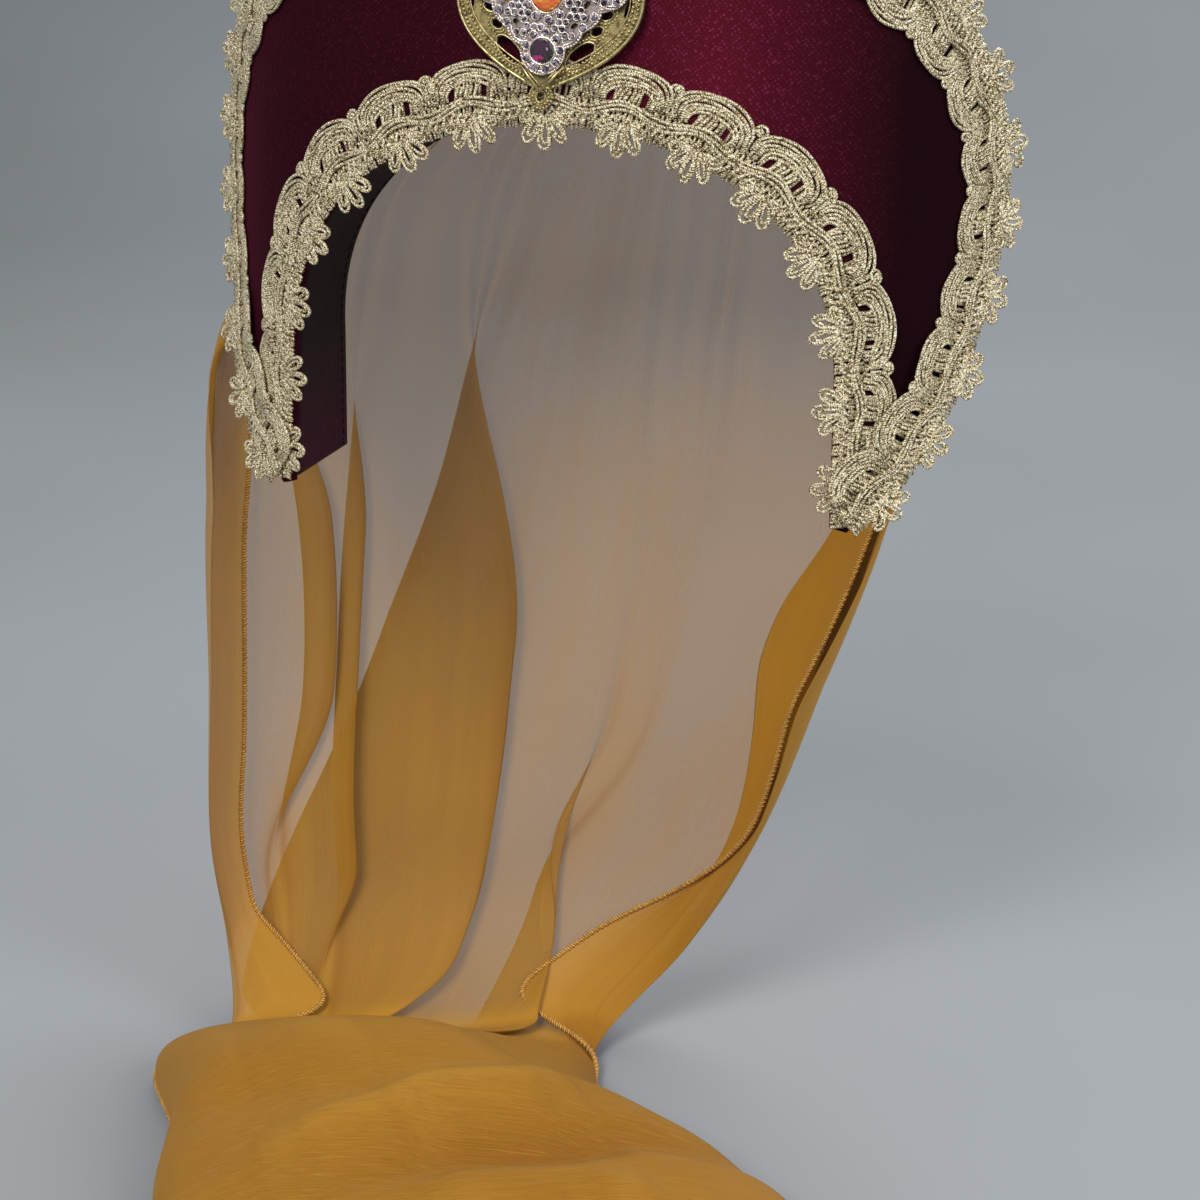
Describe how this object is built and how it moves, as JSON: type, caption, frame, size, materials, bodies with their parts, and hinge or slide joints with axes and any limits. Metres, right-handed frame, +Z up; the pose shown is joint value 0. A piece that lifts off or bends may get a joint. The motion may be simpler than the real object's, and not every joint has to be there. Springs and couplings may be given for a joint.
{
  "type": "french hood with veil",
  "caption": "Velvet crescent headdress on a head band, edged with metallic lace, with a stone-set brooch and a long sheer veil hanging behind",
  "frame": {"origin": "On the centre plane, where the crown of the head meets the underside of the head band", "axes": "+Z up, -Y the way the wearer faces, +X the wearer's left"},
  "size_m": [0.2866, 0.3004, 0.4222],
  "materials": {
    "velvet": "matt velvet with a soft sheen",
    "lining": "plain dark cloth",
    "lace": "metallic gimp cord",
    "gold": "aged cast gilt",
    "silver": "bright cast metal with clear stones",
    "amber": "cut orange stone",
    "garnet": "cut dark purple stone",
    "chiffon": "sheer crinkled chiffon"
  },
  "bodies": {
    "root": {"crescent": "velvet", "head_band": "lining", "inner_lace": "lace", "outer_lace": "lace", "brooch_back": "gold", "brooch_front": "silver", "centre_stone": "amber", "drop_stone": "garnet", "veil": "chiffon"}
  },
  "joints": []
}
